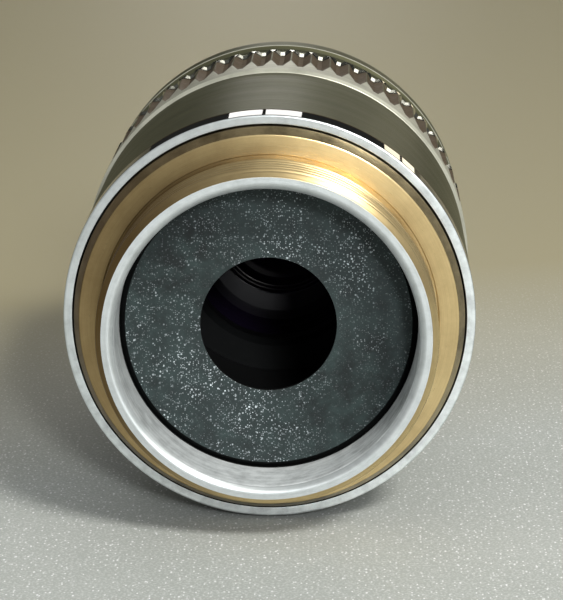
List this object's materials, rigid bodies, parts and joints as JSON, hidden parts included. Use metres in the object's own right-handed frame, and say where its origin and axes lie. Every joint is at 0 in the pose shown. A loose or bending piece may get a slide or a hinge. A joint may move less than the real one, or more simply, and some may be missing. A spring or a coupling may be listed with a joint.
{
  "type": "microscope objective",
  "caption": "Screw-mount microscope objective: brass thread and seat, satin metal barrel, knurled front sleeve, black rear stop and a nose that springs back into the barrel.",
  "frame": {"origin": "centre of the rear rim, in the plane of the rim's face, which is the lowest point as the part stands", "axes": "+Z along the optical axis from the mount towards the nose; +Y towards the guide screw"},
  "size_m": [0.0254, 0.0254, 0.0464],
  "materials": {
    "brass": "turned",
    "satin_chrome": "satin",
    "bright_chrome": "polished",
    "steel": "plain",
    "black_anodised": "matte",
    "blackened_brass": "blackened",
    "lens_glass": "coated"
  },
  "bodies": {
    "barrel": {"mount_body": "brass", "rear_stop": "black_anodised", "parfocal_shim": "brass", "outer_sleeve": "satin_chrome", "knurled_sleeve": "satin_chrome", "guide_screw": "steel", "carriage_spring": "steel"},
    "nose": {"spring_seat": "blackened_brass", "carriage_tube": "bright_chrome", "centring_screws": "steel", "cell_retaining_ring": "blackened_brass", "rear_doublet_cell": "blackened_brass", "rear_doublet_crown": "lens_glass", "rear_doublet_flint": "lens_glass", "doublet_spacer": "blackened_brass", "front_doublet_cell": "blackened_brass", "front_doublet_crown": "lens_glass", "front_doublet_flint": "lens_glass", "meniscus_cell": "blackened_brass", "meniscus_lens": "lens_glass", "nose_cap": "bright_chrome", "front_lens_cell": "blackened_brass", "front_cell_ring": "blackened_brass", "front_lens": "lens_glass"}
  },
  "joints": [
    {"name": "nose_slide", "type": "slide", "parent": "barrel", "child": "nose", "axis": [0, 0, 1], "range_m": [-0.002, 0], "stiffness_N_per_m": 400, "springref_m": 0.006, "deforming": ["carriage_spring"]}
  ]
}
